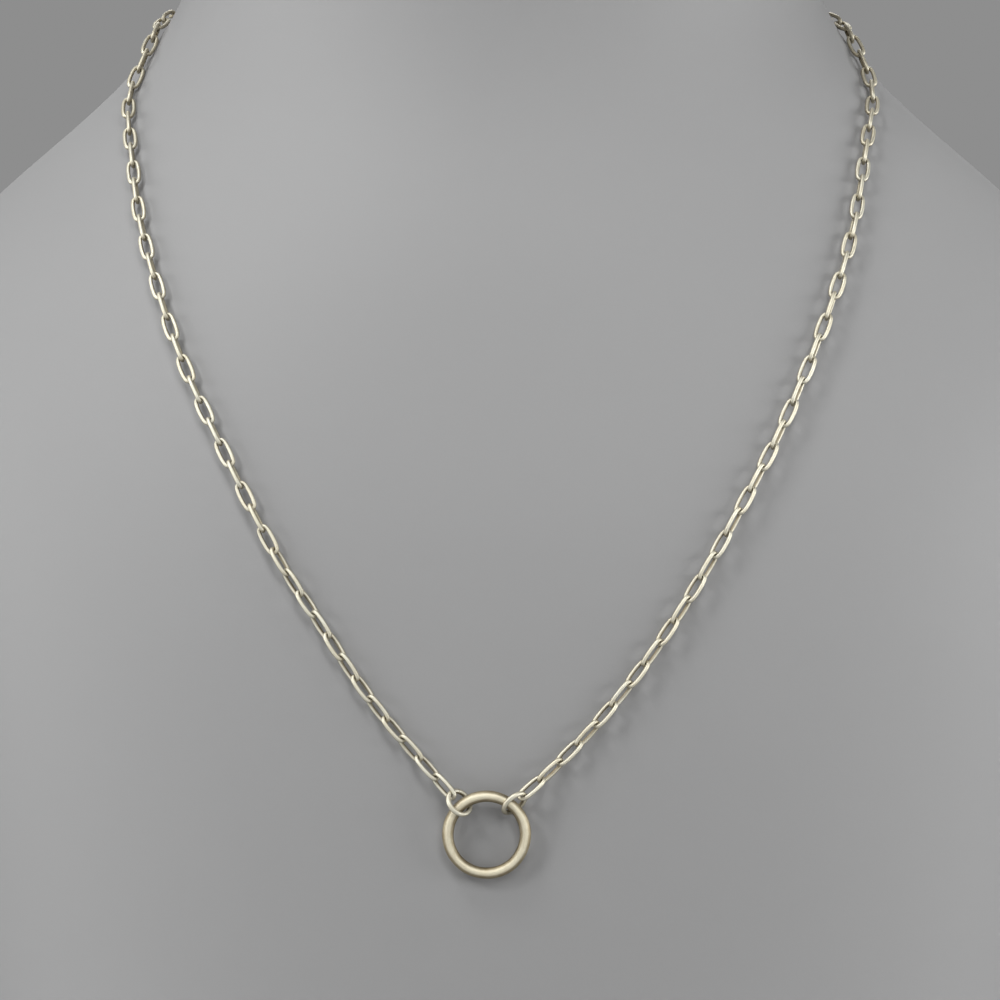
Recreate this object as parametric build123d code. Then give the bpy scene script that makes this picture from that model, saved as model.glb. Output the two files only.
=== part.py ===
from build123d import *
from math import atan2, cos, degrees, radians, sin
import os

# A fine chain necklace with a round ring pendant, lying on a plain neck bust.
# Millimetres. +Z is up and the bust faces -Y. The origin is the centre of the whole piece's
# footprint, on the flat base. Left and right are as seen from the front, so left is -X.

# Neck bust
BUST_HEIGHT = 228.0
BUST_WIDTH = 201.0
BUST_DEPTH = 117.0
NECK_TOP_ROUNDING = 5.0
BASE_ROUNDING = 1.5
# The upright line inside the neck that turns are counted about, behind the bust's front
NECK_AXIS_SHARE = 0.525

# Ring pendant, measured over the outside, and its place on the chest
PENDANT_DIAMETER = 14.0
PENDANT_WIRE = 1.8
PENDANT_HEIGHT_SHARE = 0.2425
PENDANT_OFF_CENTRE = -2.4
# How much further the pendant's top stands off the chest than its foot
PENDANT_TOP_LIFT = 1.35

# Jump rings: their wire, and the width inside one beyond the two wires that it holds
JUMP_RING_WIRE = 0.7
JUMP_RING_SPARE = 1.0
# Angles in the pendant's plane, counted from +X: where each ring sits round the pendant, and the
# way that its strand pulls it. Its tilt is how far its plane turns out of the pendant's plane.
LEFT_RING_ANGLE = 130.0
LEFT_RING_PULL_ANGLE = 134.0
LEFT_RING_TILT = 50.0
RIGHT_RING_ANGLE = 49.5
RIGHT_RING_PULL_ANGLE = 42.5
RIGHT_RING_TILT = 57.0

# Chain: long oval links, pitch from one link to the next
LINK_PITCH = 4.1
LINK_WIDTH = 2.36
LINK_WIRE = 0.58
# Space left between two metal pieces that hang in each other
METAL_CLEARANCE = 0.14
# More room where one piece hangs at a slant in another: a ring on the pendant, and a strand's end
# link in a jump ring or the clasp
SLANT_ROOM = 0.08
# Space left between the bust and what lies on it
SEAT_GAP = 0.24

# Lobster clasp at the nape
CLASP_LOOP_LENGTH = 7.0
CLASP_LOOP_WIDTH = 4.2
CLASP_BODY_WIDTH = 2.0
CLASP_EYE_WIDTH = 2.9
CLASP_TAB_LENGTH = 1.3
# Where it lies on the neck: share of BUST_HEIGHT, and degrees round the neck from the front
CLASP_HEIGHT_SHARE = 0.888
CLASP_TURN_ANGLE = 180.0

# Level sections of the bust, evenly spaced from the base to the top of the neck.
# half_width: share of half of BUST_WIDTH.
# front, widest, back: distance behind the bust's foremost plane, share of BUST_DEPTH.
# full_width, full_depth: how far each quarter's curve runs along the width and the depth before
# it turns, as shares of that quarter.
SECTION_COLUMNS = ("half_width", "front", "widest", "back", "full_width", "full_depth")
SECTION_ROWS = (
    (0.856, 0.000, 0.491, 0.957, 0.600, 0.550),
    (0.883, 0.000, 0.500, 0.976, 0.600, 0.550),
    (0.910, 0.002, 0.508, 0.991, 0.602, 0.550),
    (0.939, 0.006, 0.514, 0.999, 0.605, 0.552),
    (0.967, 0.016, 0.517, 0.999, 0.604, 0.547),
    (0.991, 0.037, 0.519, 0.988, 0.590, 0.530),
    (1.003, 0.074, 0.520, 0.969, 0.533, 0.476),
    (0.961, 0.116, 0.537, 0.947, 0.445, 0.369),
    (0.775, 0.166, 0.560, 0.922, 0.401, 0.333),
    (0.573, 0.185, 0.580, 0.906, 0.465, 0.389),
    (0.486, 0.178, 0.554, 0.904, 0.532, 0.502),
    (0.467, 0.162, 0.520, 0.902, 0.552, 0.557),
)

# Where each strand lies between its jump ring and the clasp.
# turn: degrees round the neck from the front. height: share of BUST_HEIGHT.
# roll: degrees that the first, third, fifth link and so on is rolled from lying flat.
ROUTE_COLUMNS = ("turn", "height", "roll")
LEFT_ROUTE = (
    (13.8, 0.3037, -40.0),
    (20.9, 0.3458, -42.0),
    (27.2, 0.3911, -42.0),
    (31.1, 0.4186, -42.0),
    (35.0, 0.4495, -4.0),
    (42.2, 0.5090, 0.0),
    (49.8, 0.5683, 3.0),
    (57.3, 0.6261, 5.0),
    (65.4, 0.6804, 8.0),
    (74.6, 0.7328, 22.0),
    (84.6, 0.7791, 45.0),
    (88.4, 0.8005, 55.0),
    (91.0, 0.8120, 60.0),
    (95.5, 0.8240, 60.0),
    (101.0, 0.8325, 55.0),
    (110.0, 0.8425, 45.0),
    (125.0, 0.8575, 20.0),
    (140.0, 0.8705, 0.0),
    (155.0, 0.8810, 0.0),
)
RIGHT_ROUTE = (
    (10.1, 0.2996, -40.0),
    (17.8, 0.3400, -42.0),
    (24.5, 0.3829, -42.0),
    (28.6, 0.4128, -40.0),
    (32.6, 0.4435, -28.0),
    (36.5, 0.4740, -12.0),
    (40.3, 0.5035, -8.0),
    (47.9, 0.5643, -6.0),
    (56.1, 0.6261, -4.0),
    (64.5, 0.6821, -8.0),
    (74.3, 0.7360, -22.0),
    (86.0, 0.7836, -45.0),
    (89.6, 0.8010, -55.0),
    (92.5, 0.8140, -60.0),
    (97.5, 0.8240, -60.0),
    (103.0, 0.8320, -55.0),
    (112.0, 0.8425, -45.0),
    (126.0, 0.8575, -20.0),
    (141.0, 0.8705, 0.0),
    (155.0, 0.8810, 0.0),
)
# Places at which a strand's route is laid on the bust, and the number of links over which its
# end leaves the bust for the jump ring or the clasp
ROUTE_SAMPLE_COUNT = 150
LEAD_LINK_COUNT = 2.5

# Sizes that follow from the others
NECK_AXIS_Y = NECK_AXIS_SHARE * BUST_DEPTH
PENDANT_RADIUS = (PENDANT_DIAMETER - PENDANT_WIRE) / 2
JUMP_RING_INSIDE = (PENDANT_WIRE + LINK_WIRE + JUMP_RING_SPARE) / 2
JUMP_RING_RADIUS = JUMP_RING_INSIDE + JUMP_RING_WIRE / 2
LINK_BEND = (LINK_WIDTH - LINK_WIRE) / 2
LINK_SLOT = LINK_WIDTH - 2 * LINK_WIRE
CLASP_WIRE = LINK_SLOT - 2 * (METAL_CLEARANCE + SLANT_ROOM)
CLASP_EYE_RADIUS = (CLASP_EYE_WIDTH - CLASP_WIRE) / 2
CLASP_LOOP_BEND = (CLASP_LOOP_WIDTH - CLASP_WIRE) / 2
CLASP_BODY_ROUNDING = CLASP_BODY_WIDTH / 3
# How far the clasp's eye is sunk into the end of its loop, so that the two are one piece
CLASP_EYE_SINK = CLASP_WIRE / 4


def named_rows(columns, rows):
    """Each row of a table as a dictionary from column to value."""
    return [dict(zip(columns, row)) for row in rows]


def bust_section(row, height):
    """One level section: four quarter curves whose ends run along the width and the depth."""
    half_width = row["half_width"] * BUST_WIDTH / 2
    widest = row["widest"] * BUST_DEPTH
    quarters = []
    for side, end in ((1, "front"), (1, "back"), (-1, "back"), (-1, "front")):
        reach = row[end] * BUST_DEPTH - widest
        tip = (side * half_width, widest)
        tip_pull = (side * half_width, widest + row["full_depth"] * reach)
        middle_pull = (side * row["full_width"] * half_width, widest + reach)
        middle = (0, widest + reach)
        points = (middle, middle_pull, tip_pull, tip)
        if (side > 0) == (end == "back"):
            points = points[::-1]
        quarters.append(Bezier(*points))
    return Pos(0, 0, height) * make_face(quarters)


def make_bust():
    """The neck bust: a smooth loft through the level sections, with eased rims."""
    step = BUST_HEIGHT / (len(SECTION_ROWS) - 1)
    rows = named_rows(SECTION_COLUMNS, SECTION_ROWS)
    body = loft([bust_section(row, number * step) for number, row in enumerate(rows)])
    body = fillet(body.faces().sort_by(Axis.Z)[-1].edges(), NECK_TOP_ROUNDING)
    return fillet(body.faces().sort_by(Axis.Z)[0].edges(), BASE_ROUNDING)


def on_bust(bust, turn, height):
    """The bust's outer surface at a turn from the front: the point and its outward normal."""
    outward = Vector(sin(radians(turn)), -cos(radians(turn)), 0)
    ray = Axis((0, NECK_AXIS_Y, height), outward)
    point, normal = bust.find_intersection_points(ray)[-1]
    return point, normal if normal.dot(outward) > 0 else -normal


def chart_place(point):
    """Turn from the front, to either side, and height of a point beside the bust."""
    return degrees(atan2(abs(point.X), NECK_AXIS_Y - point.Y)), point.Z


def pendant_plane(bust):
    """The pendant's plane: its foot lies on the chest and its top stands off by the lift."""
    rest = PENDANT_WIRE / 2 + SEAT_GAP
    turn = degrees(atan2(PENDANT_OFF_CENTRE, NECK_AXIS_Y))
    centre_height = PENDANT_HEIGHT_SHARE * BUST_HEIGHT
    foot, foot_normal = on_bust(bust, turn, centre_height - PENDANT_RADIUS)
    top, top_normal = on_bust(bust, turn, centre_height + PENDANT_RADIUS)
    foot += foot_normal * rest
    top += top_normal * (rest + PENDANT_TOP_LIFT)
    upward = top - foot
    return Plane(origin=(foot + top) / 2, x_dir=(1, 0, 0), z_dir=Vector(1, 0, 0).cross(upward))


def jump_ring_plane(pendant, angle, pull, tilt):
    """A jump ring's plane: round the pendant's wire, along its strand's pull, and tilted."""
    held = Vector(cos(radians(angle)), sin(radians(angle)), 0) * PENDANT_RADIUS
    pulled = Vector(cos(radians(pull)), sin(radians(pull)), 0)
    sideways = Vector(-sin(radians(pull)), cos(radians(pull)), 0)
    across = sideways * cos(radians(tilt)) + Vector(0, 0, 1) * sin(radians(tilt))
    slack = JUMP_RING_INSIDE - PENDANT_WIRE / 2 - METAL_CLEARANCE - SLANT_ROOM
    centre = pendant.from_local_coords(held + pulled * slack)
    x_dir = pendant.from_local_coords(pulled) - pendant.origin
    normal = pendant.from_local_coords(pulled.cross(across)) - pendant.origin
    return Plane(origin=centre, x_dir=x_dir, z_dir=normal)


def joint_inside(wire):
    """How far a strand's end joint lies inside the middle of the wire that its end link holds."""
    return (wire + METAL_CLEARANCE) / 2 + SLANT_ROOM


def make_link(pitch):
    """One link on its back in the XY plane, its length along X."""
    half_straight = (pitch + LINK_WIRE + METAL_CLEARANCE) / 2 - LINK_BEND
    bar = Rot(0, 90, 0) * Cylinder(LINK_WIRE / 2, 2 * half_straight)
    section = Plane.XZ * Pos(LINK_BEND, 0) * Circle(LINK_WIRE / 2)
    bend = Rot(0, 0, -90) * revolve(section, Axis.Z, 180)
    link = Pos(0, LINK_BEND, 0) * bar + Pos(0, -LINK_BEND, 0) * bar
    return link + Pos(half_straight, 0, 0) * bend + Pos(-half_straight, 0, 0) * Rot(0, 0, 180) * bend


def roll_at(route, height):
    """The roll at a height, straight between the route's rows."""
    below = route[0]
    for above in route:
        top = above["height"] * BUST_HEIGHT
        if height < top:
            foot = below["height"] * BUST_HEIGHT
            share = (height - foot) / (top - foot) if top > foot else 0
            return below["roll"] + max(0, share) * (above["roll"] - below["roll"])
        below = above
    return below["roll"]


def chain_lift(roll):
    """How high a strand's middle runs over the bust, so that both kinds of link clear it."""
    steepest = max(abs(sin(radians(roll))), abs(cos(radians(roll))))
    return LINK_BEND * steepest + LINK_WIRE / 2 + SEAT_GAP


def strand_path(bust, route, side, start, end):
    """Points along a strand, each with the bust's normal there, from start to end."""
    places = [chart_place(start)]
    places += [(row["turn"], row["height"] * BUST_HEIGHT) for row in route]
    places += [chart_place(end)]
    chart = Spline(*places)
    path = []
    for step in range(ROUTE_SAMPLE_COUNT + 1):
        place = chart @ (step / ROUTE_SAMPLE_COUNT)
        point, normal = on_bust(bust, side * place.X, place.Y)
        path.append((point + normal * chain_lift(roll_at(route, place.Y)), normal))
    lead = LEAD_LINK_COUNT * LINK_PITCH
    start_shift = start - path[0][0]
    end_shift = end - path[-1][0]
    eased = []
    for point, normal in path:
        near_start = max(0, 1 - (point - path[0][0]).length / lead)
        near_end = max(0, 1 - (point - path[-1][0]).length / lead)
        shifted = point + start_shift * near_start**2 + end_shift * near_end**2
        eased.append((shifted, normal))
    return eased


def even_places(path, nominal_step):
    """An even number of equal steps along a path: its joints, with normals, and the step."""
    reach = [0.0]
    for (before, _), (after, _) in zip(path, path[1:]):
        reach.append(reach[-1] + (after - before).length)
    count = 2 * round(reach[-1] / nominal_step / 2)
    joints = []
    stretch = 0
    for number in range(count + 1):
        wanted = reach[-1] * number / count
        while stretch < len(path) - 2 and reach[stretch + 1] < wanted:
            stretch += 1
        share = (wanted - reach[stretch]) / (reach[stretch + 1] - reach[stretch])
        (before, before_normal), (after, after_normal) = path[stretch : stretch + 2]
        normal = before_normal * (1 - share) + after_normal * share
        joints.append((before * (1 - share) + after * share, normal))
    return joints, reach[-1] / count


def make_strand(bust, rows, side, start, end):
    """Interlocked loose links, each a quarter turn from the last, and the strand's length."""
    route = named_rows(ROUTE_COLUMNS, rows)
    joints, pitch = even_places(strand_path(bust, route, side, start, end), LINK_PITCH)
    link = make_link(pitch)
    links = []
    for number, ((before, normal), (after, _)) in enumerate(zip(joints, joints[1:])):
        centre = (before + after) / 2
        along = (after - before).normalized()
        across = normal.cross(along).normalized()
        outward = along.cross(across)
        roll = radians(roll_at(route, centre.Z) + 90 * (number % 2))
        facing = outward * cos(roll) - across * sin(roll)
        links.append(Plane(origin=centre, x_dir=along, z_dir=facing) * link)
    return Compound(links), pitch * len(links)


def make_clasp():
    """A lobster clasp in the XY plane: its eye towards -X and its closed claw towards +X."""
    half_straight = CLASP_LOOP_LENGTH / 2 - CLASP_LOOP_BEND - CLASP_WIRE / 2
    bar = Rot(0, 90, 0) * Cylinder(CLASP_WIRE / 2, 2 * half_straight)
    section = Plane.XZ * Pos(CLASP_LOOP_BEND, 0) * Circle(CLASP_WIRE / 2)
    bend = Rot(0, 0, -90) * revolve(section, Axis.Z, 180)
    loop = Pos(0, CLASP_LOOP_BEND, 0) * bar + Pos(0, -CLASP_LOOP_BEND, 0) * bar
    loop += Pos(half_straight, 0, 0) * bend
    loop += Pos(-half_straight, 0, 0) * Rot(0, 0, 180) * bend
    swell = (CLASP_BODY_WIDTH - CLASP_WIRE) / 2
    body = Rot(0, 90, 0) * Cylinder(CLASP_BODY_WIDTH / 2, 2 * half_straight)
    body = fillet(body.edges(), CLASP_BODY_ROUNDING)
    tab = Pos(-half_straight / 2, CLASP_LOOP_BEND + CLASP_TAB_LENGTH / 2, 0)
    tab *= Rot(90, 0, 0) * Cylinder(CLASP_WIRE / 2, CLASP_TAB_LENGTH + CLASP_WIRE)
    eye_x = -CLASP_LOOP_LENGTH / 2 - CLASP_EYE_RADIUS + CLASP_EYE_SINK
    eye = Pos(eye_x, 0, 0) * Torus(CLASP_EYE_RADIUS, CLASP_WIRE / 2)
    clasp = loop + Pos(0, -CLASP_LOOP_BEND + swell / 2, 0) * body + tab + eye
    eye_end = Vector(eye_x - CLASP_EYE_RADIUS + joint_inside(CLASP_WIRE), 0, 0)
    claw_end = Vector(half_straight + CLASP_LOOP_BEND - joint_inside(CLASP_WIRE), 0, 0)
    return clasp, eye_end, claw_end


bust = make_bust()
pendant_seat = pendant_plane(bust)
left_ring_seat = jump_ring_plane(
    pendant_seat, LEFT_RING_ANGLE, LEFT_RING_PULL_ANGLE, LEFT_RING_TILT
)
right_ring_seat = jump_ring_plane(
    pendant_seat, RIGHT_RING_ANGLE, RIGHT_RING_PULL_ANGLE, RIGHT_RING_TILT
)
jump_ring = Torus(JUMP_RING_RADIUS, JUMP_RING_WIRE / 2)
ring_joint = Vector(JUMP_RING_RADIUS - joint_inside(JUMP_RING_WIRE), 0, 0)

clasp, eye_joint, claw_joint = make_clasp()
nape, nape_normal = on_bust(bust, CLASP_TURN_ANGLE, CLASP_HEIGHT_SHARE * BUST_HEIGHT)
clasp_lift = CLASP_BODY_WIDTH / 2 + SEAT_GAP
clasp_seat = Plane(origin=nape + nape_normal * clasp_lift, x_dir=(1, 0, 0), z_dir=nape_normal)

chain_left, left_length = make_strand(
    bust, LEFT_ROUTE, -1,
    left_ring_seat.from_local_coords(ring_joint), clasp_seat.from_local_coords(eye_joint),
)
chain_right, right_length = make_strand(
    bust, RIGHT_ROUTE, 1,
    right_ring_seat.from_local_coords(ring_joint), clasp_seat.from_local_coords(claw_joint),
)

pieces = {
    "neck_bust": bust,
    "circle_pendant": pendant_seat * Torus(PENDANT_RADIUS, PENDANT_WIRE / 2),
    "jump_ring_left": left_ring_seat * jump_ring,
    "jump_ring_right": right_ring_seat * jump_ring,
    "chain_left": chain_left,
    "chain_right": chain_right,
    "clasp": clasp_seat * clasp,
}
footprint = Compound(list(pieces.values())).bounding_box()
to_origin = Pos(-footprint.center().X, -footprint.center().Y, -footprint.min.Z)

os.makedirs("parts", exist_ok=True)
for name, piece in pieces.items():
    export_step(to_origin * piece, f"parts/{name}.step")

print(f"left strand {left_length:.1f} mm in {len(chain_left.solids())} links")
print(f"right strand {right_length:.1f} mm in {len(chain_right.solids())} links")
print(f"footprint moved by {-footprint.center().Y:.2f} mm along Y")
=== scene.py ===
"""A fine gold-coloured necklace with a round ring pendant, dressed on its plain grey neck bust.

Metres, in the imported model's own frame: +Z is up and the bust faces -Y. Each piece lies where the
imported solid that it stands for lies, and the bust, the links and the rings take their sizes from
that solid too. Left and right are as seen from the front.
"""

import logging
import math
from dataclasses import dataclass, replace
from enum import Enum
from typing import Optional, Union

import bmesh
import bpy
import numpy as np
from bmesh.types import BMesh, BMVert
from bpy.types import ID, Material, Mesh, NodeSocket, NodeTree, Object, World
from mathutils import Matrix, Vector
from mathutils.bvhtree import BVHTree


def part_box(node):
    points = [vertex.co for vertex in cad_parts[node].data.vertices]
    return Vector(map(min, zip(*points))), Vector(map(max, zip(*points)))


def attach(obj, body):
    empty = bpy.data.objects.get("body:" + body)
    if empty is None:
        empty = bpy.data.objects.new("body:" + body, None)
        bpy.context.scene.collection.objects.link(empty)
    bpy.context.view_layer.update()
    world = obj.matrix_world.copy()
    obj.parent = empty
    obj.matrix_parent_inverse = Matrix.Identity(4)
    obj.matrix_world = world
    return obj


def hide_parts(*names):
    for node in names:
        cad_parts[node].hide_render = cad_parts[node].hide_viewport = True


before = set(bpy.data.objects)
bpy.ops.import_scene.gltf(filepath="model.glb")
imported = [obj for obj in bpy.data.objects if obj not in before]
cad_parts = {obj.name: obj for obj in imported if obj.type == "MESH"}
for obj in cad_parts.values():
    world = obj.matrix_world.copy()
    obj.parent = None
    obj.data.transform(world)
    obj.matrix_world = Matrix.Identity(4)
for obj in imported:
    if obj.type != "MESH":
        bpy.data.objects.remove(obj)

LOG = logging.getLogger("necklace")
MM = 0.001
BODY = "root"
WHITE = (1.0, 1.0, 1.0, 1.0)
NOISE_MIDDLE = 0.5
NOISE_DETAIL = 2.0
Colour = tuple[float, float, float]
Span = tuple[float, float]
Ring = list[BMVert]

# The two ends of a path: the index there, and the way out along the path's heading.
ENDS = ((0, -1), (-1, 1))

# x * (15 - 10 x^2 + 3 x^4) / 8 runs from -1 to 1 and arrives level, which rounds a link's ends.
LEVEL_STEP = (15 / 8, 10 / 8, 3 / 8)

# Height in metres, and how many degrees further the right strand's links are rolled there.
RIGHT_ROLLS = (
    (0.0940, 0.0), (0.0986, -8.0), (0.1080, -22.0), (0.1270, -24.0),
    (0.1348, -22.0), (0.1396, -18.0), (0.1450, -9.0), (0.1510, 0.0),
)


class Slot(Enum):
    """Material slot names, which nothing in the script uses."""

    BUST = "bust"
    GOLD = "gold"


class Node(Enum):
    """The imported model's nodes."""

    BUST = "neck_bust"
    PENDANT = "circle_pendant"
    LEFT_RING = "jump_ring_left"
    RIGHT_RING = "jump_ring_right"
    LEFT_CHAIN = "chain_left"
    RIGHT_CHAIN = "chain_right"
    CLASP = "clasp"


class InputKind(Enum):
    """The kinds of value that a recipe's named input takes."""

    GEOMETRY = "NodeSocketGeometry"
    NUMBER = "NodeSocketFloat"
    COUNT = "NodeSocketInt"
    MATERIAL = "NodeSocketMaterial"


class Signal:
    """An output socket that takes part in arithmetic: each operation adds a Math node."""

    def __init__(self, graph: "Graph", socket: NodeSocket) -> None:
        """Keep the socket and the graph that it belongs to."""
        self.graph = graph
        self.socket = socket

    def math(self, operation: str, *others: "Value") -> "Signal":
        """One Math node with this signal first."""
        return self.graph.math(operation, self, *others)

    def __add__(self, other: "Value") -> "Signal":
        """Sum."""
        return self.math("ADD", other)

    def __radd__(self, other: float) -> "Signal":
        """Sum with a number first."""
        return self.graph.math("ADD", other, self)

    def __sub__(self, other: "Value") -> "Signal":
        """Difference."""
        return self.math("SUBTRACT", other)

    def __rsub__(self, other: float) -> "Signal":
        """Difference from a number."""
        return self.graph.math("SUBTRACT", other, self)

    def __mul__(self, other: "Value") -> "Signal":
        """Product."""
        return self.math("MULTIPLY", other)

    def __rmul__(self, other: float) -> "Signal":
        """Product with a number first."""
        return self.graph.math("MULTIPLY", other, self)

    def __truediv__(self, other: "Value") -> "Signal":
        """Quotient."""
        return self.math("DIVIDE", other)

    def __rtruediv__(self, other: float) -> "Signal":
        """Quotient of a number."""
        return self.graph.math("DIVIDE", other, self)


Value = Union[Signal, float]
Feed = Union[Signal, float, int, str, tuple, ID]
Sockets = dict[Union[str, int], Feed]


class Graph:
    """A node tree that is written as Python calls."""

    def __init__(self, tree: NodeTree) -> None:
        """Keep the node tree to fill."""
        self.tree = tree

    def node(
        self,
        kind: str,
        settings: Optional[dict[str, object]] = None,
        sockets: Optional[Sockets] = None,
        output: Union[str, int] = 0,
    ) -> Optional[Signal]:
        """Add one node.

        Args:
            kind: The node's type.
            settings: The node's own settings, set first.
            sockets: Values or signals for its inputs, by name or number.
            output: The name or number of the output to return.

        Returns:
            The chosen output, or None for a node with no outputs.
        """
        made = self.tree.nodes.new(kind)
        for name, value in (settings or {}).items():
            setattr(made, name, value)
        for key, value in (sockets or {}).items():
            if isinstance(value, Signal):
                self.tree.links.new(value.socket, made.inputs[key])
            else:
                made.inputs[key].default_value = value
        return Signal(self, made.outputs[output]) if len(made.outputs) else None

    def math(self, operation: str, *values: Value) -> Signal:
        """One Math node with its inputs in order."""
        return self.node("ShaderNodeMath", {"operation": operation}, dict(enumerate(values)))

    def vector(self, operation: str, *values: Signal, output: Union[str, int] = 0) -> Signal:
        """One Vector Math node with its inputs in order."""
        settings = {"operation": operation}
        return self.node("ShaderNodeVectorMath", settings, dict(enumerate(values)), output)

    def part(self, vector: Signal, axis: int) -> Signal:
        """One of a vector's numbers: 0 for X, 1 for Y, 2 for Z."""
        return self.node("ShaderNodeSeparateXYZ", sockets={0: vector}, output=axis)


class Surface(Graph):
    """A material's node tree on object coordinates."""

    def __init__(self, name: str) -> None:
        """Start an empty material under a name."""
        self.material = bpy.data.materials.new(name)
        self.material.use_nodes = True
        self.material.node_tree.nodes.clear()
        super().__init__(self.material.node_tree)
        self.place = self.node("ShaderNodeTexCoord", output="Object")

    def noise(self, size: float, detail: float = NOISE_DETAIL) -> Signal:
        """Noise in patches of about one size, with finer layers over it."""
        sockets = {"Vector": self.place, "Scale": 1 / size, "Detail": detail}
        return self.node("ShaderNodeTexNoise", sockets=sockets)

    def attribute(self, name: str) -> Signal:
        """The number that the mesh stores under a name."""
        return self.node("ShaderNodeAttribute", {"attribute_name": name}, output="Fac")

    def step(self, value: Signal, limits: Span) -> Signal:
        """A soft step from 0, where its range starts, to 1, where it ends."""
        return self.node(
            "ShaderNodeMapRange",
            {"interpolation_type": "SMOOTHSTEP"},
            {"Value": value, "From Min": limits[0], "From Max": limits[1]},
        )

    def ramp(self, value: Signal, limits: Span) -> Signal:
        """A straight rise from 0, where its range starts, to 1, where it ends.

        Args:
            value: What is read.
            limits: The range.

        Returns:
            The rise, as the grey of a new ramp, which goes from black to white.
        """
        made = self.node("ShaderNodeValToRGB", sockets={"Fac": value})
        for element, position in zip(made.socket.node.color_ramp.elements, limits):
            element.position = position
        return made

    def blend(self, share: Signal, first: Union[Signal, Colour], second: Colour) -> Signal:
        """A colour between two, by the numbered sockets of a Mix node that are for colours.

        Args:
            share: The second colour's share, held between 0 and 1.
            first: The colour at 0.
            second: The colour at 1.

        Returns:
            The colour.
        """
        start = first if isinstance(first, Signal) else (*first, 1.0)
        return self.node(
            "ShaderNodeMix",
            {"data_type": "RGBA", "clamp_factor": True},
            {"Factor": share, 6: start, 7: (*second, 1.0)},
            output=2,
        )

    def bump(self, height: Signal, depth: float, strength: float) -> Signal:
        """A shading normal for dents of one depth that are too fine to model."""
        sockets = {"Strength": strength, "Distance": depth, "Height": height}
        return self.node("ShaderNodeBump", sockets=sockets)

    def finished(self, sockets: Sockets) -> Material:
        """End the tree with its shader.

        Args:
            sockets: Values or signals for the Principled shader.

        Returns:
            The material.
        """
        shader = self.node("ShaderNodeBsdfPrincipled", sockets=sockets)
        self.node("ShaderNodeOutputMaterial", sockets={"Surface": shader})
        return self.material


class Recipe(Graph):
    """A Geometry Nodes tree with named inputs that makes one mesh."""

    def __init__(self, name: str, numbers: tuple[str, ...], counts: tuple[str, ...]) -> None:
        """Start the tree with its inputs: a carrier mesh, its own and the material.

        Args:
            name: The tree's name.
            numbers: The names of its own inputs that are plain numbers.
            counts: The names of its own inputs that are whole numbers.
        """
        tree = bpy.data.node_groups.new(name, "GeometryNodeTree")
        inputs = [("Geometry", InputKind.GEOMETRY)]
        inputs += [(label, InputKind.NUMBER) for label in numbers]
        inputs += [(label, InputKind.COUNT) for label in counts]
        inputs += [("Material", InputKind.MATERIAL)]
        for label, kind in inputs:
            tree.interface.new_socket(name=label, in_out="INPUT", socket_type=kind.value)
        shape = InputKind.GEOMETRY.value
        tree.interface.new_socket(name="Geometry", in_out="OUTPUT", socket_type=shape)
        super().__init__(tree)
        self.given = tree.nodes.new("NodeGroupInput")

    def value(self, label: str) -> Signal:
        """The named input's value."""
        return Signal(self, self.given.outputs[label])

    def circle(self, points: Signal, radius: Value) -> Signal:
        """A flat circle as a curve."""
        sockets = {"Resolution": points, "Radius": radius}
        return self.node("GeometryNodeCurvePrimitiveCircle", sockets=sockets)

    def mark_inside(self, wire: Signal, half_core: Value) -> Signal:
        """Store how far each place of a bent wire faces the middle of its own loop, where the gold
        finish puts painted shade with tarnish.

        Args:
            wire: The loop's mesh, flat on X and Y.
            half_core: Half the length of the loop's straight middle, which runs along X.

        Returns:
            The mesh with the attribute "inward", 1 where it faces the middle.
        """
        place = self.node("GeometryNodeInputPosition")
        x, z = self.part(place, 0), self.part(place, 2)
        nearest = x.math("MINIMUM", half_core).math("MAXIMUM", -1 * half_core)
        core = self.node("ShaderNodeCombineXYZ", sockets={0: nearest, 2: z})
        towards = self.vector("NORMALIZE", self.vector("SUBTRACT", core, place))
        normal = self.node("GeometryNodeInputNormal")
        inward = self.vector("DOT_PRODUCT", normal, towards, output="Value")
        return self.node(
            "GeometryNodeStoreNamedAttribute",
            sockets={"Geometry": wire, "Name": "inward", "Value": inward},
        )

    def close(self, geometry: Signal) -> None:
        """End the tree: smooth faces, real geometry and the material.

        Args:
            geometry: What the tree makes.
        """
        smooth = self.node("GeometryNodeSetShadeSmooth", sockets={"Geometry": geometry})
        real = self.node("GeometryNodeRealizeInstances", sockets={"Geometry": smooth})
        sockets = {"Geometry": real, "Material": self.value("Material")}
        dressed = self.node("GeometryNodeSetMaterial", sockets=sockets)
        self.node("NodeGroupOutput", sockets={"Geometry": dressed})

    def mesh(self, carrier: Mesh, values: dict[str, object]) -> Mesh:
        """Run the tree on a carrier mesh.

        Args:
            carrier: The mesh that the tree starts from.
            values: A value for each named input.

        Returns:
            The plain mesh that comes out.
        """
        holder = add_object(self.tree.name, carrier)
        modifier = holder.modifiers.new("recipe", "NODES")
        modifier.node_group = self.tree
        for item in self.tree.interface.items_tree:
            if item.in_out == "INPUT" and item.name in values:
                modifier[item.identifier] = values[item.name]
        depsgraph = bpy.context.evaluated_depsgraph_get()
        made = bpy.data.meshes.new_from_object(
            holder.evaluated_get(depsgraph), preserve_all_data_layers=True, depsgraph=depsgraph
        )
        bpy.data.objects.remove(holder)
        return made


def add_object(name: str, data: ID) -> Object:
    """Put a mesh, light or camera in the scene.

    Args:
        name: The object's name.
        data: What it shows.

    Returns:
        The object.
    """
    made = bpy.data.objects.new(name, data)
    bpy.context.scene.collection.objects.link(made)
    return made


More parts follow.
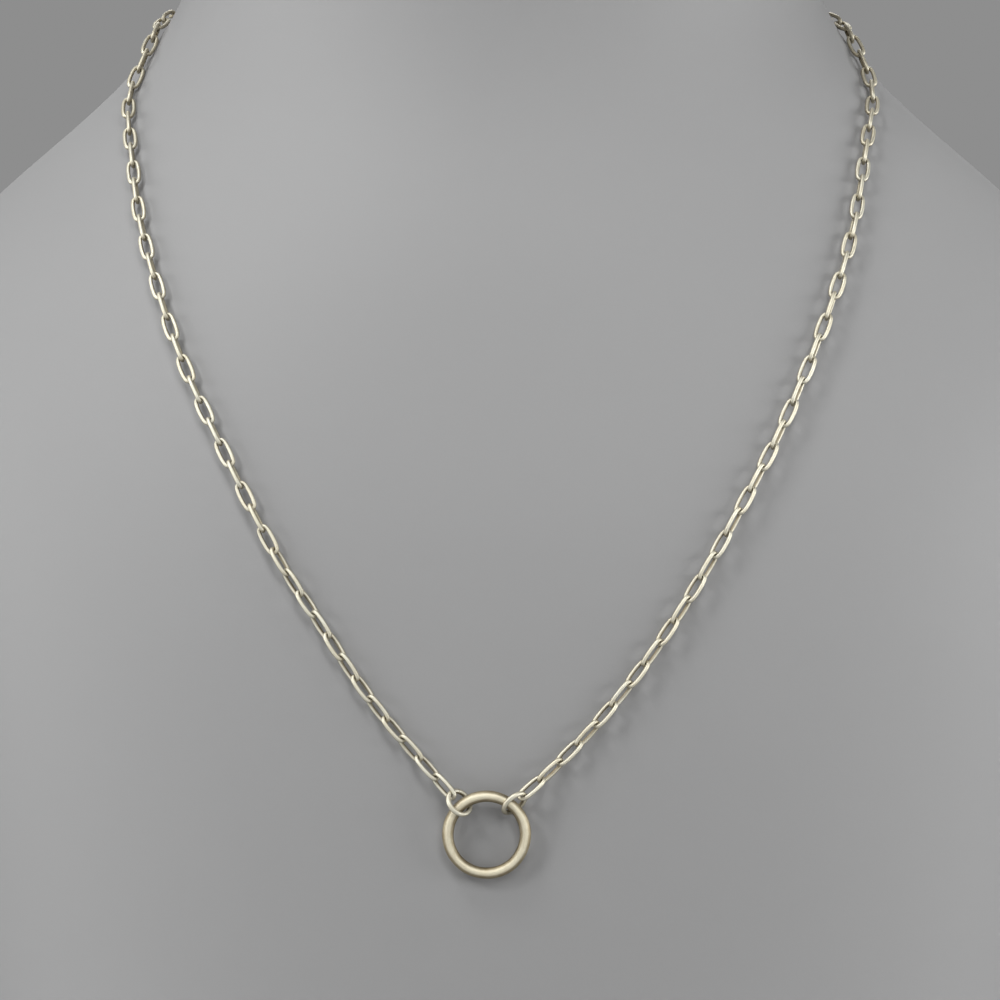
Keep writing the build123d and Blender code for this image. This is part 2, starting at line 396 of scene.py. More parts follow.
def add_piece(name: str, mesh: Mesh, stands_for: Node) -> None:
    """Put a finished mesh in the scene as a piece of the part.

    Args:
        name: The piece's name.
        mesh: Its mesh, already in place.
        stands_for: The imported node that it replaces.
    """
    piece = add_object(name, mesh)
    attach(piece, BODY)
    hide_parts(stands_for.value)
    LOG.info("%s: %d faces", name, len(mesh.polygons))


@dataclass(frozen=True)
class GoldFinish:
    """Gold plate, satin, with a dark colour that is tarnish and painted shade where it turns from
    the open side and inside each loop's bend.

    clean turns to warm by patches and from link to link, and to dull in spots over dull_range.
    side_shade_range: how far a place is turned from the open side, from where the painted shade and
    tarnish start to where they are full. inside_shade_range: the same for how far it faces the
    middle of its own loop. The roughness is satin where the noise is at its middle, and falls to
    rubbed where it is at 0.
    """

    name: str
    clean: Colour
    warm: Colour
    side_shade_range: Span
    side_shade_share: float
    inside_shade_range: Span
    inside_shade_share: float
    dull: Colour = (0.50, 0.42, 0.28)
    # The dark colour that stands for tarnish and for painted shade on the wire.
    tarnish_and_shade: Colour = (0.17, 0.13, 0.065)
    patch_warmth: float = 0.9
    link_warmth: float = 0.35
    coolness: float = 0.2
    dull_grain: float = 0.45
    dull_patches: float = 0.55
    dull_range: Span = (0.48, 0.66)
    dull_share: float = 0.14
    even_tarnish_and_shade: float = 0.8
    patchy_tarnish_and_shade: float = 0.4
    satin: float = 0.60
    rubbed: float = 0.46
    patch_size: float = 1.6 * MM
    patch_detail: float = 3.0
    grain_size: float = 0.16 * MM
    dent_depth: float = 0.02 * MM
    dent_grain: float = 0.3
    dent_strength: float = 0.6

    def material(self) -> Material:
        """The finish as a material on object coordinates.

        Returns:
            The new material.
        """
        surface = Surface(self.name)
        patches = surface.noise(self.patch_size, self.patch_detail)
        grain = surface.noise(self.grain_size)
        tone = surface.attribute("link_tone")
        warmth = patches * self.patch_warmth + tone * self.link_warmth - self.coolness
        spots = grain * self.dull_grain + patches * self.dull_patches
        dulled = surface.ramp(spots, self.dull_range) * self.dull_share
        # Painted shade with tarnish: darker where the wire turns from the open side and where it
        # faces the middle of its own loop.
        sides = surface.step(surface.attribute("sheltered"), self.side_shade_range)
        inside = surface.step(surface.attribute("inward"), self.inside_shade_range)
        tarnish_and_shade_share = 1 - (1 - sides * self.side_shade_share) * (1 - inside * self.inside_shade_share)
        tarnish_and_shade_share = tarnish_and_shade_share * (self.even_tarnish_and_shade + self.patchy_tarnish_and_shade * patches)
        colour = surface.blend(warmth, self.clean, self.warm)
        colour = surface.blend(dulled, colour, self.dull)
        colour = surface.blend(tarnish_and_shade_share, colour, self.tarnish_and_shade)
        dents = patches + grain * self.dent_grain
        return surface.finished(
            {
                "Base Color": colour,
                "Metallic": 1.0,
                "Roughness": self.rubbed + (self.satin - self.rubbed) * 2 * grain,
                "Normal": surface.bump(dents, self.dent_depth, self.dent_strength),
            }
        )


# The side and inside settings set where the painted shade with tarnish falls on each gold.
PENDANT_GOLD = GoldFinish(
    "pale_gold",
    clean=(0.99, 0.94, 0.765),
    warm=(0.97, 0.865, 0.62),
    side_shade_range=(-0.04, 0.24),
    side_shade_share=0.80,
    inside_shade_range=(0.72, 1.0),
    inside_shade_share=0.60,
)
WIRE_GOLD = GoldFinish(
    "bright_gold",
    clean=(0.765, 0.75, 0.65),
    warm=(0.755, 0.70, 0.545),
    side_shade_range=(0.04, 0.90),
    side_shade_share=0.60,
    inside_shade_range=(0.50, 1.0),
    inside_shade_share=0.80,
)


@dataclass(frozen=True)
class BustFinish:
    """Smooth matte grey, sprayed, with faint clouds and a very fine even grain."""

    name: str = "matte_grey"
    light: Colour = (0.298, 0.298, 0.298)
    shade: Colour = (0.277, 0.277, 0.279)
    cloud_size: float = 38 * MM
    cloud_detail: float = 3.0
    cloud_share: float = 0.6
    grain_size: float = 0.35 * MM
    grain_share: float = 0.4
    grain_depth: float = 0.012 * MM
    grain_strength: float = 0.5
    smooth: float = 0.52
    matte: float = 0.66

    def material(self) -> Material:
        """The finish as a material on object coordinates.

        Returns:
            The new material.
        """
        surface = Surface(self.name)
        cloud = surface.noise(self.cloud_size, self.cloud_detail)
        grain = surface.noise(self.grain_size)
        lightness = cloud * self.cloud_share + grain * self.grain_share
        return surface.finished(
            {
                "Base Color": surface.blend(lightness, self.shade, self.light),
                "Roughness": self.smooth + (self.matte - self.smooth) * cloud,
                "Normal": surface.bump(grain, self.grain_depth, self.grain_strength),
            }
        )


@dataclass(frozen=True)
class FloorFinish:
    """Plain grey floor."""

    name: str = "pale_floor"
    colour: Colour = (0.50, 0.50, 0.50)
    grain_size: float = 2 * MM
    smooth: float = 0.6
    matte_growth: float = 0.2

    def material(self) -> Material:
        """The finish as a material on object coordinates.

        Returns:
            The new material.
        """
        surface = Surface(self.name)
        roughness = self.smooth + surface.noise(self.grain_size) * self.matte_growth
        return surface.finished({"Base Color": (*self.colour, 1.0), "Roughness": roughness})


@dataclass(frozen=True)
class Placement:
    """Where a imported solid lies: its centre, its own axes and its half sizes along them."""

    centre: np.ndarray
    axes: np.ndarray
    half_sizes: np.ndarray

    def matrix(self) -> Matrix:
        """The turn and the shift from the solid's own axes to the model's frame."""
        turned = Matrix(self.axes.T.tolist()).to_4x4()
        return Matrix.Translation(Vector(self.centre)) @ turned


class Packed:
    """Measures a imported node's mesh, solid by solid."""

    def __init__(self, node: Node) -> None:
        """Read the node's corners and triangles, with corners in one place made one.

        Args:
            node: The node to measure.
        """
        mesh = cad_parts[node.value].data
        points = np.empty(len(mesh.vertices) * 3)
        mesh.vertices.foreach_get("co", points)
        mesh.calc_loop_triangles()
        corners = np.empty(len(mesh.loop_triangles) * 3, dtype=np.int64)
        mesh.loop_triangles.foreach_get("vertices", corners)
        places, merged = np.unique(
            np.round(points.reshape(-1, 3) / (MM * MM)), axis=0, return_inverse=True
        )
        self.points = places * MM * MM
        self.triangles = merged.reshape(-1)[corners].reshape(-1, 3)

    def solids(self) -> list[Placement]:
        """The placement of each separate solid, in the order of their first corners.

        Returns:
            One placement for each solid.
        """
        label = np.arange(len(self.points))
        first = self.triangles.ravel()
        second = np.roll(self.triangles, -1, axis=1).ravel()
        while True:
            low = np.minimum(label[first], label[second])
            joined = label.copy()
            np.minimum.at(joined, first, low)
            np.minimum.at(joined, second, low)
            joined = joined[joined]
            if (joined == label).all():
                break
            label = joined
        owner = label[self.triangles[:, 0]]
        return [self.placement(self.triangles[owner == name]) for name in np.unique(owner)]

    def placement(self, triangles: np.ndarray) -> Placement:
        """The placement of one solid from how its surface is spread.

        Args:
            triangles: The solid's triangles.

        Returns:
            Its placement, longest spread first.
        """
        corners = self.points[triangles]
        normals = np.cross(corners[:, 1] - corners[:, 0], corners[:, 2] - corners[:, 0])
        area = np.linalg.norm(normals, axis=1)
        middles = corners.mean(axis=1)
        centre = (middles * area[:, None]).sum(axis=0) / area.sum()
        away = middles - centre
        spread = (away * area[:, None]).T @ away
        axes = np.linalg.eigh(spread)[1].T[::-1]
        axes[2] = np.cross(axes[0], axes[1])
        along = (corners.reshape(-1, 3) - centre) @ axes.T
        low, high = along.min(axis=0), along.max(axis=0)
        return Placement(centre + (low + high) / 2 @ axes, axes, (high - low) / 2)


@dataclass
class NeckBust:
    """The plain neck bust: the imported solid's own surface, joined into one smooth shell.

    flat_slope: how upright a face's normal is, at the least, to be part of the flat top or base.
    """

    node: Node = Node.BUST
    name: str = "bust_shell"
    flat_slope: float = 0.9999

    def __post_init__(self) -> None:
        """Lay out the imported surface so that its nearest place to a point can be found."""
        self.packed = Packed(self.node)
        self.surface = BVHTree.FromPolygons(
            self.packed.points.tolist(), self.packed.triangles.tolist()
        )

    def shelter(self, mesh: Mesh) -> None:
        """Store how far each point of a mesh is turned away from the open side of the bust, where
        the gold finish puts painted shade with tarnish.

        Args:
            mesh: The mesh, already in place. Its attribute "sheltered" is 0 where it faces
                straight out, 1 where it faces sideways and 2 where it faces the bust.
        """
        turned = [
            1.0 - vertex.normal.dot(self.surface.find_nearest(vertex.co)[1])
            for vertex in mesh.vertices
        ]
        mesh.attributes.new("sheltered", "FLOAT", "POINT").data.foreach_set("value", turned)

    def normals(self, mesh: Mesh) -> np.ndarray:
        """The shell's normal at each point, upright all over the flat top and base.

        Args:
            mesh: The shell.

        Returns:
            One normal a row.
        """
        found = np.array([tuple(vertex.normal) for vertex in mesh.vertices])
        for face in mesh.polygons:
            if abs(face.normal.z) > self.flat_slope:
                found[list(face.vertices)] = (0.0, 0.0, math.copysign(1.0, face.normal.z))
        return found

    def build(self, finish: Material) -> None:
        """Make the shell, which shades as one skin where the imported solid's faces meet.

        Args:
            finish: The material.
        """
        mesh = bpy.data.meshes.new(self.name)
        mesh.from_pydata(self.packed.points.tolist(), [], self.packed.triangles.tolist())
        mesh.shade_smooth()
        mesh.normals_split_custom_set_from_vertices(self.normals(mesh))
        mesh.materials.append(finish)
        add_piece(self.name, mesh, self.node)


@dataclass
class Jeweller:
    """Puts metal pieces in one finish on the bust."""

    bust: NeckBust
    finish: Material

    def place(self, name: str, mesh: Mesh, stands_for: Node) -> None:
        """Put a finished mesh, already in place, in the scene as a piece of the necklace."""
        # Stores the turn from the open side, where the gold finish puts painted shade with tarnish.
        self.bust.shelter(mesh)
        add_piece(name, mesh, stands_for)


@dataclass
class ChainStrand:
    """One strand of long oval links, each where its packed link lies.

    rolls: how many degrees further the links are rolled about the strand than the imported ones, at
    each of some heights. wire_fullness: the finished wire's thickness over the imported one's.
    """

    node: Node
    name: str
    seed: int
    rolls: tuple[Span, ...] = ((0.0, 0.0),)
    wire_fullness: float = 1.16
    outline_points: int = 24
    wire_points: int = 8

    def outline(self, recipe: Recipe) -> Signal:
        """A link's centre line: a circle drawn out along X, its ends round.

        Args:
            recipe: The tree to add to.

        Returns:
            The curve.
        """
        bend = recipe.value("Bend Radius")
        position = recipe.node("GeometryNodeInputPosition")
        x, y = recipe.part(position, 0), recipe.part(position, 1)
        first, third, fifth = LEVEL_STEP
        square = x * x
        shift = x * (first - square * (third - fifth * square)) * recipe.value("Half Straight")
        drawn = recipe.node("ShaderNodeCombineXYZ", sockets={0: x * bend + shift, 1: y * bend})
        circle = recipe.circle(recipe.value("Outline Points"), 1.0)
        sockets = {"Geometry": circle, "Position": drawn}
        return recipe.node("GeometryNodeSetPosition", sockets=sockets)

    def recipe(self) -> Recipe:
        """The tree that bends a wire into an oval link and sets one at each place.

        Returns:
            The recipe.
        """
        recipe = Recipe(
            self.name,
            numbers=("Half Straight", "Bend Radius", "Wire Radius"),
            counts=("Outline Points", "Wire Points", "Seed"),
        )
        wire = recipe.circle(recipe.value("Wire Points"), recipe.value("Wire Radius"))
        sockets = {"Curve": self.outline(recipe), "Profile Curve": wire}
        bent = recipe.node("GeometryNodeCurveToMesh", sockets=sockets)
        link = recipe.mark_inside(bent, recipe.value("Half Straight"))
        turn = recipe.node(
            "FunctionNodeAxesToRotation",
            {"primary_axis": "X", "secondary_axis": "Z"},
            {
                "Primary Axis": self.direction(recipe, "along"),
                "Secondary Axis": self.direction(recipe, "facing"),
            },
        )
        links = recipe.node(
            "GeometryNodeInstanceOnPoints",
            sockets={"Points": recipe.value("Geometry"), "Instance": link, "Rotation": turn},
        )
        tone = recipe.node(
            "FunctionNodeRandomValue", sockets={"Seed": recipe.value("Seed")}, output=1
        )
        toned = recipe.node(
            "GeometryNodeStoreNamedAttribute",
            {"domain": "INSTANCE"},
            {"Geometry": links, "Name": "link_tone", "Value": tone},
        )
        recipe.close(toned)
        return recipe

    def direction(self, recipe: Recipe, name: str) -> Signal:
        """A vector that each place of the carrier mesh holds."""
        return recipe.node(
            "GeometryNodeInputNamedAttribute", {"data_type": "FLOAT_VECTOR"}, {"Name": name}
        )

    def rolled(self, place: Placement) -> Placement:
        """A link's placement with the strand's own further roll at its height.

        Args:
            place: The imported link's placement.

        Returns:
            The placement, its own X upwards.
        """
        heights, degrees = zip(*self.rolls)
        roll = math.radians(np.interp(place.centre[2], heights, degrees))
        along = place.axes[0] * math.copysign(1.0, place.axes[0][2])
        facing = place.axes[2] * math.cos(roll) + np.cross(along, place.axes[2]) * math.sin(roll)
        return replace(place, axes=np.array([along, np.cross(facing, along), facing]))

    def carrier(self, places: list[Placement]) -> Mesh:
        """A mesh of one loose point for each link, with the link's directions.

        Args:
            places: The links' placements.

        Returns:
            The carrier mesh.
        """
        mesh = bpy.data.meshes.new(self.name + "_places")
        mesh.from_pydata([place.centre.tolist() for place in places], [], [])
        for name, axis in (("along", 0), ("facing", 2)):
            attribute = mesh.attributes.new(name, "FLOAT_VECTOR", "POINT")
            vectors = np.array([place.axes[axis] for place in places])
            attribute.data.foreach_set("vector", vectors.astype(np.float32).ravel())
        return mesh

    def build(self, jeweller: Jeweller) -> None:
        """Make the strand.

        Args:
            jeweller: Who puts it on the bust.
        """
        places = [self.rolled(place) for place in Packed(self.node).solids()]
        half_length, half_width, wire_radius = np.mean([p.half_sizes for p in places], axis=0)
        values = {
            "Half Straight": float(half_length - half_width),
            "Bend Radius": float(half_width - wire_radius),
            "Wire Radius": float(wire_radius) * self.wire_fullness,
            "Outline Points": self.outline_points,
            "Wire Points": self.wire_points,
            "Seed": self.seed,
            "Material": jeweller.finish,
        }
        mesh = self.recipe().mesh(self.carrier(places), values)
        LOG.info("%s: %d links", self.name, len(places))
        jeweller.place(self.name, mesh, self.node)


@dataclass
class WireRing:
    """A ring bent by hand from round wire: not quite even, soldered shut or with a butt seam.

    unevenness: the most that the wire's thickness and place change, as a share of its radius.
    wire_fullness: the finished wire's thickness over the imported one's. bend_waves and
    thickness_waves: about how many such changes fit across the ring's radius.
    """

    node: Node
    name: str
    seed: int
    unevenness: float
    ring_points: int
    wire_points: int
    wire_fullness: float = 1.0
    seam_gap: float = 0.0
    seam_angle: float = 0.0
    bend_waves: float = 0.9
    thickness_waves: float = 1.6
    thickness_seed: float = 5.0

    def bend(self, recipe: Recipe) -> Signal:
        """The wire's centre line: a full circle, or an arc that stops short at the seam.

        Args:
            recipe: The tree to add to.

        Returns:
            The curve.
        """
        points, radius = recipe.value("Ring Points"), recipe.value("Ring Radius")
        if self.seam_gap == 0:
            return recipe.circle(points, radius)
        gap_angle = recipe.value("Seam Gap") / radius
        return recipe.node(
            "GeometryNodeCurveArc",
            sockets={
                "Resolution": points,
                "Radius": radius,
                "Start Angle": recipe.value("Seam Angle") + gap_angle / 2,
                "Sweep Angle": math.tau - gap_angle,
            },
        )

    def wander(self, recipe: Recipe, seed_shift: float, waves: float) -> Signal:
        """A slow random change round the ring, centred on zero.

        Args:
            recipe: The tree to add to.
            seed_shift: What is added to the seed.
            waves: About how many changes fit across the ring's radius.

        Returns:
            The change.
        """
        noise = recipe.node(
            "ShaderNodeTexNoise",
            {"noise_dimensions": "4D"},
            {
                "Vector": recipe.node("GeometryNodeInputPosition"),
                "W": recipe.value("Seed") + seed_shift,
                "Scale": waves / recipe.value("Ring Radius"),
                "Detail": NOISE_DETAIL,
            },
        )
        return (noise - NOISE_MIDDLE) * recipe.value("Unevenness")

    def recipe(self) -> Recipe:
        """The tree that bends an uneven wire round a circle.

        Returns:
            The recipe.
        """
        recipe = Recipe(
            self.name,
            numbers=("Ring Radius", "Wire Radius", "Unevenness", "Seam Gap", "Seam Angle"),
            counts=("Ring Points", "Wire Points", "Seed"),
        )
        ring_radius, wire_radius = recipe.value("Ring Radius"), recipe.value("Wire Radius")
        away = self.wander(recipe, 0.0, self.bend_waves) * wire_radius / ring_radius
        outward = recipe.node(
            "ShaderNodeVectorMath",
            {"operation": "SCALE"},
            {0: recipe.node("GeometryNodeInputPosition"), "Scale": away},
        )
        sockets = {"Geometry": self.bend(recipe), "Offset": outward}
        outline = recipe.node("GeometryNodeSetPosition", sockets=sockets)
        ring = recipe.node(
            "GeometryNodeCurveToMesh",
            sockets={
                "Curve": outline,
                "Profile Curve": recipe.circle(recipe.value("Wire Points"), wire_radius),
                "Scale": 1 + self.wander(recipe, self.thickness_seed, self.thickness_waves),
                "Fill Caps": True,
            },
        )
        recipe.close(recipe.mark_inside(ring, 0.0))
        return recipe

    def build(self, jeweller: Jeweller) -> None:
        """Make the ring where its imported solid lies.

        Args:
            jeweller: Who puts it on the bust.
        """
        place = Packed(self.node).solids()[0]
        wire_radius = float(place.half_sizes[2])
        values = {
            "Ring Radius": float(place.half_sizes[:2].mean()) - wire_radius,
            "Wire Radius": wire_radius * self.wire_fullness,
            "Unevenness": self.unevenness,
            "Seam Gap": self.seam_gap,
            "Seam Angle": self.seam_angle,
            "Ring Points": self.ring_points,
            "Wire Points": self.wire_points,
            "Seed": self.seed,
            "Material": jeweller.finish,
        }
        mesh = self.recipe().mesh(bpy.data.meshes.new(self.name + "_place"), values)
        mesh.transform(place.matrix())
        jeweller.place(self.name, mesh, self.node)


@dataclass
class LobsterClasp:
    """A small lobster claw clasp: cast body with its claw, sprung lever with a thumb tab, eye.

    Its own X runs along the nape towards the claw, its Y down and its Z away from the neck. A
    turn is in degrees round the loop, from the middle of the claw towards the lever. A pair of
    widths or heights is a share of the wire where the form starts, and its growth to the end.
    squareness: the power of the loop's rounded square. claw_reach: how many half wires the lever
    starts past claw_gap. claw_curl: the loop's length over the radius that both are taken at.
    """

    node: Node = Node.CLASP
    loop_length: float = 7.0 * MM
    loop_width: float = 4.2 * MM
    squareness: float = 6
    belly_rise: float = 0.10
    wire: float = 0.76 * MM
    body_width: float = 1.9 * MM
    body_start: float = -205
    claw_turn: float = 62
    claw_taper: float = 0.18
    back_power: float = 0.8
    back_width: float = 0.62
    hinge_turn: float = -190
    hinge_power: float = 4
    hinge_width: float = 0.35
    hinge_height: float = 0.85
    lever_end: float = 152
    lever_widths: Span = (0.78, 0.12)
    lever_heights: Span = (0.80, 0.35)
    claw_gap: float = 0.07 * MM
    claw_reach: float = 1.55
    claw_curl: float = 2.6
    tab_turn: float = 122
    tab_length: float = 1.3 * MM
    tab_sink: float = 0.15 * MM
    tab_lean: float = 0.25 * MM
    tab_widths: Span = (0.34, 0.22)
    tab_heights: Span = (0.40, 0.34)
    rivet_turn: float = 168
    rivet_width: float = 0.95 * MM
    rivet_height: float = 1.9
    eye_width: float = 2.9 * MM
    side_points: int = 20
    rivet_rings: int = 10
    eye_points: int = 40
    body_points: int = 64
    lever_points: int = 28
    tab_points: int = 9
    cap_points: int = 5

    def loop_point(self, turn: float) -> tuple[float, float]:
        """A point of the loop's centre line.

        Args:
            turn: Where on the loop it is.

        Returns:
            Its X and Y.
        """
        power = self.squareness
        bend = (self.loop_width - self.wire) / 2
        straight = self.loop_length / 2 - bend - self.wire / 2
        angle = math.radians(turn)
        x, y = math.cos(angle), math.sin(angle)
        reach = 1 / max(abs(x) ** power + abs(y) ** power, 1.0) ** (1 / power)
        return x * (straight + bend) * reach, y * bend * reach * self.belly(turn)

    def belly(self, turn: float) -> float:
        """How far the loop bows out at a turn: a little less towards the claw."""
        return 1.0 - self.belly_rise * max(0.0, math.cos(math.radians(turn)))

    def ring(self, made: BMesh, centre: np.ndarray, across: np.ndarray, sizes: Span) -> Ring:
        """Add one ring of corners, upright on the clasp's own plane.

        Args:
            made: The mesh under construction.
            centre: The ring's centre, as X and Y.
            across: The direction of its width, as X and Y.
            sizes: Its half width and half height.

        Returns:
            The corners in order.
        """
        corners = []
        for step in range(self.side_points):
            angle = math.tau * step / self.side_points
            spot = centre + across * sizes[0] * math.cos(angle)
            corners.append(made.verts.new((*spot, sizes[1] * math.sin(angle))))
        return corners

    def skin(self, made: BMesh, rings: list[Ring], following: list[Ring]) -> None:
        """Join each ring of corners to the one that follows it.

        Args:
            made: The mesh under construction.
            rings: The rings.
            following: The ring that follows each of them.
        """
        for near, far in zip(rings, following):
            for side in range(self.side_points):
                after = (side + 1) % self.side_points
                made.faces.new((near[side], near[after], far[after], far[side]))

    def bar(self, points: list[Span], half_sizes: list[Span]) -> BMesh:
        """A closed bar with round ends along a path in the clasp's own plane.

        Args:
            points: The path's X and Y.
            half_sizes: The bar's half width and half height at each point.

        Returns:
            The bar, under construction.
        """
        path = np.array(points)
        sizes = np.array(half_sizes)
        heading = np.gradient(path, axis=0)
        heading /= np.linalg.norm(heading, axis=1)[:, None]
        swing = np.linspace(0, math.pi / 2, self.cap_points)[1:-1]
        start_cap, end_cap = (
            [
                (
                    path[end] + sign * heading[end] * sizes[end].min() * math.sin(angle),
                    heading[end],
                    sizes[end] * math.cos(angle),
                )
                for angle in swing
            ]
            for end, sign in ENDS
        )
        sections = start_cap[::-1] + list(zip(path, heading, sizes)) + end_cap
        made = bmesh.new()
        rings = [
            self.ring(made, centre, np.array([-along[1], along[0]]), size)
            for centre, along, size in sections
        ]
        self.skin(made, rings, rings[1:])
        for end, sign in ENDS:
            tip = path[end] + sign * heading[end] * sizes[end].min()
            pole = made.verts.new((*tip, 0.0))
            for side in range(self.side_points):
                after = (side + 1) % self.side_points
                made.faces.new((rings[end][side], rings[end][after], pole))
        return made

    def body(self) -> BMesh:
        """The cast body: thick at the hinge and the back, thin at the claw.

        Returns:
            The body, under construction.
        """
        turns = np.linspace(self.body_start, self.claw_turn, self.body_points)
        thin, thick = self.wire / 2, self.body_width / 2
        sizes = []
        for turn in turns:
            back = math.sin(math.radians(max(0.0, min(180.0, -turn)))) ** self.back_power
            hinge = max(0.0, math.cos(math.radians(turn - self.hinge_turn))) ** self.hinge_power
            width = max(self.back_width * back, self.hinge_width * hinge)
            height = max(back, self.hinge_height * hinge)
            taper = 1.0 - self.claw_taper * max(0.0, turn) / self.claw_turn
            sizes.append(
                ((thin + (thick - thin) * width) * taper, (thin + (thick - thin) * height) * taper)
            )
        return self.bar([self.loop_point(turn) for turn in turns], sizes)

    def lever(self) -> BMesh:
        """The sprung lever that closes the loop, from the claw's tip to its hinge.

        Returns:
            The lever, under construction.
        """
        thin = self.wire / 2
        opening = (self.claw_gap + self.claw_reach * thin) / (self.loop_length / self.claw_curl)
        tip_turn = self.claw_turn + math.degrees(opening)
        turns = np.linspace(tip_turn, self.lever_end, self.lever_points)
        (width, widening), (height, rise) = self.lever_widths, self.lever_heights
        shares = [(turn - tip_turn) / (self.lever_end - tip_turn) for turn in turns]
        sizes = [(thin * (width + widening * s), thin * (height + rise * s)) for s in shares]
        return self.bar([self.loop_point(turn) for turn in turns], sizes)

    def tab(self) -> BMesh:
        """The thumb tab that stands out from the lever.

        Returns:
            The tab, under construction.
        """
        foot_x, foot_y = self.loop_point(self.tab_turn)
        steps = np.linspace(0, 1, self.tab_points)
        reach = self.tab_length - self.tab_sink
        points = [(foot_x - self.tab_lean * s * s, foot_y + reach * s) for s in steps]
        (width, widening), (height, rise) = self.tab_widths, self.tab_heights
        sizes = [
            (self.wire * (width + widening * s * s), self.wire * (height + rise * s * s))
            for s in steps
        ]
        return self.bar(points, sizes)

    def rivet(self) -> BMesh:
        """The hinge's rivet: a low dome on each side of the body.

        Returns:
            The rivet, under construction.
        """
        made = bmesh.new()
        counts = {"u_segments": self.side_points, "v_segments": self.rivet_rings}
        bmesh.ops.create_uvsphere(made, radius=self.rivet_width / 2, **counts)
        x, y = self.loop_point(self.rivet_turn)
        stretch = Matrix.Diagonal((1.0, 1.0, self.rivet_height, 1.0))
        bmesh.ops.transform(made, matrix=Matrix.Translation((x, y, 0)) @ stretch, verts=made.verts)
        return made

    def eye(self) -> BMesh:
        """The fixed eye at the hinge's end, which the chain's last link holds.

        Returns:
            The eye, under construction.
        """
        made = bmesh.new()
        thin = self.wire / 2
        radius = self.eye_width / 2 - thin
        centre = np.array([-self.loop_length / 2 - radius + self.wire / 4, 0.0])
        rings = []
        for step in range(self.eye_points):
            turn = math.tau * step / self.eye_points
            outward = np.array([math.cos(turn), math.sin(turn)])
            rings.append(self.ring(made, centre + radius * outward, outward, (thin, thin)))
        self.skin(made, rings, rings[1:] + rings[:1])
        return made

    def seat(self) -> Matrix:
        """Where the clasp lies: its claw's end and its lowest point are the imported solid's.

        Returns:
            The turn and the shift from the clasp's own axes to the model's frame.
        """
        place = Packed(self.node).solids()[0]
        low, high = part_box(self.node.value)
        outward = Vector(place.axes[2])
        outward.x = 0.0
        outward.normalize()
        if outward.y < 0:
            outward.negate()
        along = Vector((1.0, 0.0, 0.0))
        down = outward.cross(along)
        turned = Matrix((along, down, outward)).transposed().to_4x4()
        lowest = down * (self.loop_width / 2 + self.tab_length)
        middle = Vector((high.x - self.loop_length / 2, (low.y + high.y) / 2, low.z))
        middle.z -= lowest.z
        return Matrix.Translation(middle) @ turned

    def build(self, jeweller: Jeweller) -> None:
        """Make the clasp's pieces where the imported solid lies.

        Args:
            jeweller: Who puts them on the bust.
        """
        parts = {
            "clasp_body": self.body(),
            "clasp_lever": self.lever(),
            "clasp_tab": self.tab(),
            "clasp_rivet": self.rivet(),
            "clasp_eye": self.eye(),
        }
        seat = self.seat()
        for name, made in parts.items():
            bmesh.ops.recalc_face_normals(made, faces=made.faces)
            for face in made.faces:
                face.smooth = True
            mesh = bpy.data.meshes.new(name)
            made.to_mesh(mesh)
            made.free()
            mesh.transform(seat)
            mesh.materials.append(jeweller.finish)
            jeweller.place(name, mesh, self.node)


@dataclass
class SoftLight:
    """One soft studio light that points at the chest, as high as it is wide if not told."""

    name: str
    place: tuple[float, float, float]
    width: float
    power: float
    height: Optional[float] = None

    def build(self, target: Vector) -> None:
        """Put the light in the scene.

        Args:
            target: The point that it shines at.
        """
        data = bpy.data.lights.new(self.name, "AREA")
        data.shape = "RECTANGLE"
        data.size = self.width
        data.size_y = self.height or self.width
        data.energy = self.power
        light = add_object(self.name, data)
        light.location = self.place
        light.rotation_euler = (target - light.location).to_track_quat("-Z", "Y").to_euler()


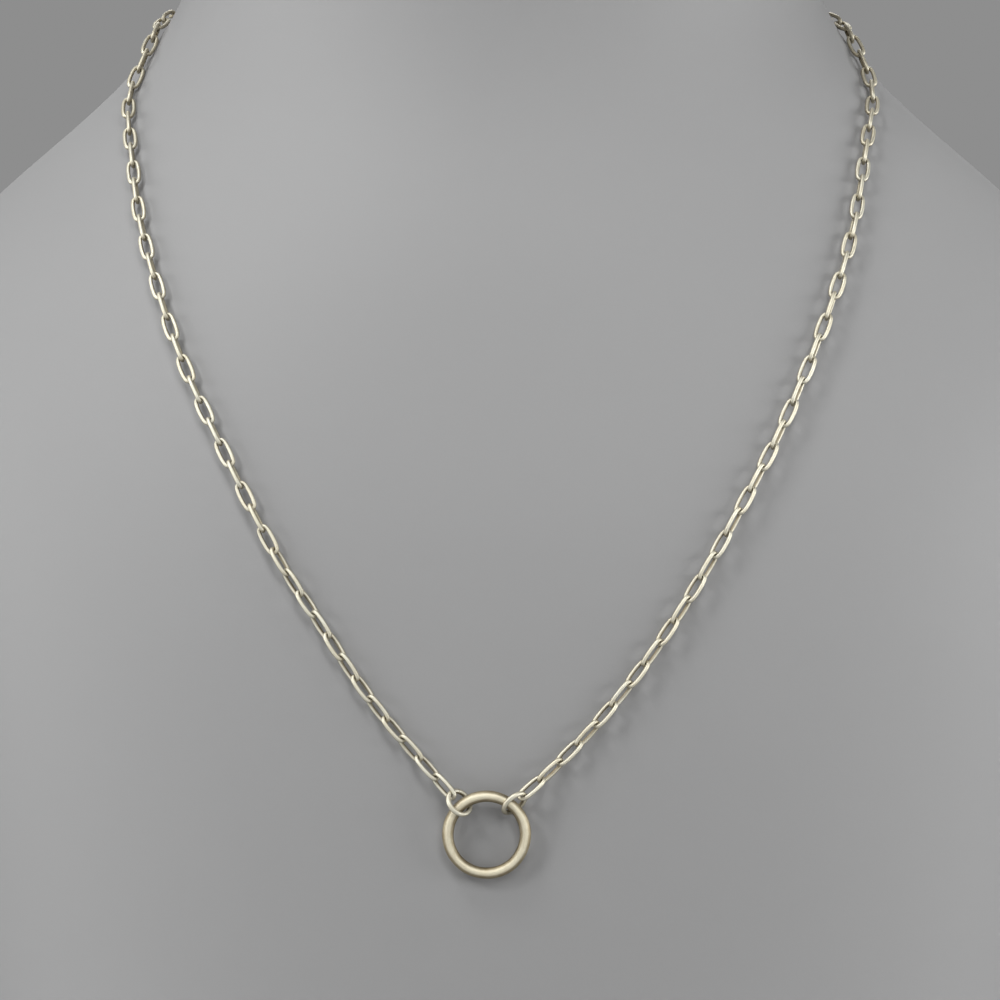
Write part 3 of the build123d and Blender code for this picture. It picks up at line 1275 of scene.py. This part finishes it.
@dataclass
class Studio:
    """The plain floor, the soft lights, the grey wall and the camera."""

    floor_size: float = 3.0
    wall_grey: float = 0.27
    room_glow: float = 0.02
    camera_distance: float = 0.900
    camera_height: float = 0.108
    camera_side: float = -0.0003
    lens: float = 205.7
    sensor: float = 36.0

    def lights(self) -> list[SoftLight]:
        """The lights that the room has."""
        return [
            SoftLight("front_light", (0.358, -1.122, 0.710), 0.45, 3.4),
            SoftLight("high_front_light", (0.160, -0.925, 1.039), 0.3, 2.8),
            SoftLight("left_light", (-0.816, -0.705, 0.866), 0.3, 5.2),
            SoftLight("high_left_light", (-0.421, -0.373, 1.298), 0.3, 6.9),
            SoftLight("left_side_light", (-1.275, -0.245, 0.233), 1.1, 7.6, 0.35),
            SoftLight("right_side_light", (1.275, -0.245, 0.233), 1.1, 11.4, 0.35),
            SoftLight("back_light", (0.0, 1.045, 0.866), 0.6, 7.0),
        ]

    def build(self, floor_finish: Material) -> None:
        """Make the floor, the lights, the room's own light and the camera.

        Args:
            floor_finish: The floor's material.
        """
        low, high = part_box(Node.BUST.value)
        target = (low + high) / 2
        half = self.floor_size / 2
        mesh = bpy.data.meshes.new("floor")
        corners = [(-half, -half, 0), (half, -half, 0), (half, half, 0), (-half, half, 0)]
        mesh.from_pydata(corners, [], [(0, 1, 2, 3)])
        mesh.materials.append(floor_finish)
        floor = add_object("floor", mesh)
        for light in self.lights():
            light.build(target)
        bpy.context.scene.world = self.room()
        bpy.context.scene.view_settings.view_transform = "Standard"
        self.camera(low.y)

    def room(self) -> World:
        """The room's grey wall, which gives hardly any light of its own.

        Returns:
            The world.
        """
        world = bpy.data.worlds.new("room")
        world.use_nodes = True
        world.node_tree.nodes.clear()
        graph = Graph(world.node_tree)
        seen = graph.node("ShaderNodeLightPath", output="Is Camera Ray")
        strength = self.room_glow + seen * (self.wall_grey - self.room_glow)
        sockets = {"Color": WHITE, "Strength": strength}
        backdrop = graph.node("ShaderNodeBackground", sockets=sockets)
        graph.node("ShaderNodeOutputWorld", sockets={"Surface": backdrop})
        return world

    def camera(self, chest_y: float) -> None:
        """Make the camera, level and square to the bust.

        Args:
            chest_y: Where the bust's foremost point is.
        """
        data = bpy.data.cameras.new("camera")
        data.lens = self.lens
        data.sensor_width = self.sensor
        camera = add_object("camera", data)
        camera.location = (self.camera_side, chest_y - self.camera_distance, self.camera_height)
        camera.rotation_euler = (math.radians(90), 0.0, 0.0)
        bpy.context.scene.camera = camera


def main() -> None:
    """Build every piece and the studio round them."""
    logging.basicConfig(level=logging.INFO, format="%(name)s %(message)s")
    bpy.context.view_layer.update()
    bust = NeckBust()
    bust.build(BustFinish().material())
    pendant_maker = Jeweller(bust, PENDANT_GOLD.material())
    chain_maker = Jeweller(bust, WIRE_GOLD.material())
    ChainStrand(Node.LEFT_CHAIN, "left_links", seed=3).build(chain_maker)
    ChainStrand(Node.RIGHT_CHAIN, "right_links", seed=8, rolls=RIGHT_ROLLS).build(chain_maker)
    WireRing(
        Node.PENDANT, "pendant_ring", seed=4, unevenness=0.16, ring_points=96, wire_points=20
    ).build(pendant_maker)
    left_ring = WireRing(
        Node.LEFT_RING, "left_jump_ring", seed=1, unevenness=0.06, ring_points=48,
        wire_points=12, wire_fullness=1.14, seam_gap=0.05 * MM, seam_angle=2.0,
    )
    left_ring.build(chain_maker)
    right_ring = replace(
        left_ring, node=Node.RIGHT_RING, name="right_jump_ring", seed=2, seam_angle=1.0
    )
    right_ring.build(chain_maker)
    LobsterClasp().build(chain_maker)
    Studio().build(FloorFinish().material())


if __name__ == "__main__":
    main()
